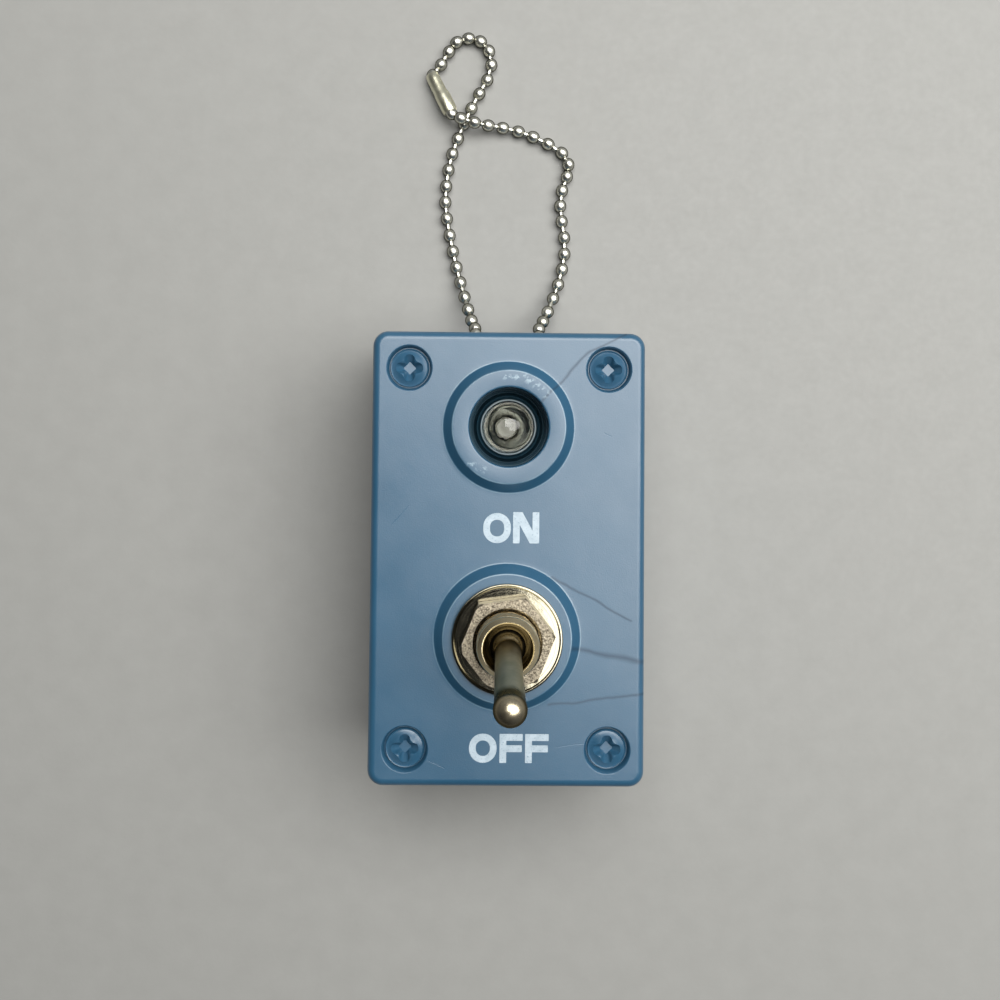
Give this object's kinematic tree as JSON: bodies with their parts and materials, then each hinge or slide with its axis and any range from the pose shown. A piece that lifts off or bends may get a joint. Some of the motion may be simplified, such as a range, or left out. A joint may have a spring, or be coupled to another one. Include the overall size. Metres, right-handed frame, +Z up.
{
  "type": "toggle switch keychain light",
  "caption": "Small moulded box with a toggle switch and an LED on its face, imitation corner screws, and a ball chain through its end wall.",
  "frame": {"origin": "centre of the back cover's outer face, under the middle of the case", "axes": "+Z up out of the face with the LED and the switch, +Y along the case to the chain end, +X to the right seen from above"},
  "size_m": [0.0272, 0.081, 0.0386],
  "materials": {
    "case_plastic": "semi-gloss moulded, light blue",
    "nickel_plate": "bright nickel plating",
    "plain_steel": "tinned or plain",
    "clear_epoxy": "water clear",
    "dark_plastic": "matt black",
    "switch_plastic": "red phenolic",
    "white_plastic": "natural acetal",
    "contact_brass": "spring strip",
    "wire_insulation": "soft vinyl, red, yellow and black"
  },
  "bodies": {
    "case": {"front_shell": "case_plastic", "back_cover": "case_plastic", "cover_screw_1": "plain_steel", "cover_screw_2": "plain_steel", "cover_screw_3": "plain_steel", "cover_screw_4": "plain_steel", "led_lens": "clear_epoxy", "led_holder": "dark_plastic", "led_anode_lead": "plain_steel", "led_cathode_lead": "plain_steel", "coin_cell": "plain_steel", "contact_positive": "contact_brass", "contact_negative": "contact_brass", "wire_positive": "wire_insulation", "wire_switched": "wire_insulation", "wire_negative": "wire_insulation", "switch_bushing": "nickel_plate", "switch_frame": "plain_steel", "switch_base": "switch_plastic", "terminal_off": "plain_steel", "terminal_common": "plain_steel", "terminal_on": "plain_steel", "washer": "nickel_plate", "hex_nut": "nickel_plate", "chain_strand_left": "nickel_plate", "chain_strand_right": "nickel_plate", "chain_connector": "nickel_plate"},
    "lever": {"toggle_lever": "nickel_plate", "plunger_spring": "plain_steel"},
    "plunger": {"lever_plunger": "white_plastic"},
    "rocker": {"rocker_contact": "contact_brass"}
  },
  "joints": [
    {"name": "lever_throw", "type": "hinge", "parent": "case", "child": "lever", "pos_m": [0, -0.00773, 0.0248], "axis": [-1, 0, 0], "range_deg": [0, 30]},
    {"name": "plunger_slide", "type": "slide", "parent": "lever", "child": "plunger", "axis": [0, -0.2588, 0.9659], "range_m": [0, 0.0003], "stiffness_N_per_m": 300},
    {"name": "rocker_tip", "type": "hinge", "parent": "case", "child": "rocker", "pos_m": [0, -0.00773, 0.015], "axis": [1, 0, 0], "range_deg": [0, 18]}
  ],
  "couplings": [
    {"joint": "rocker_tip", "follows": "lever_throw", "ratio": 0.6}
  ]
}
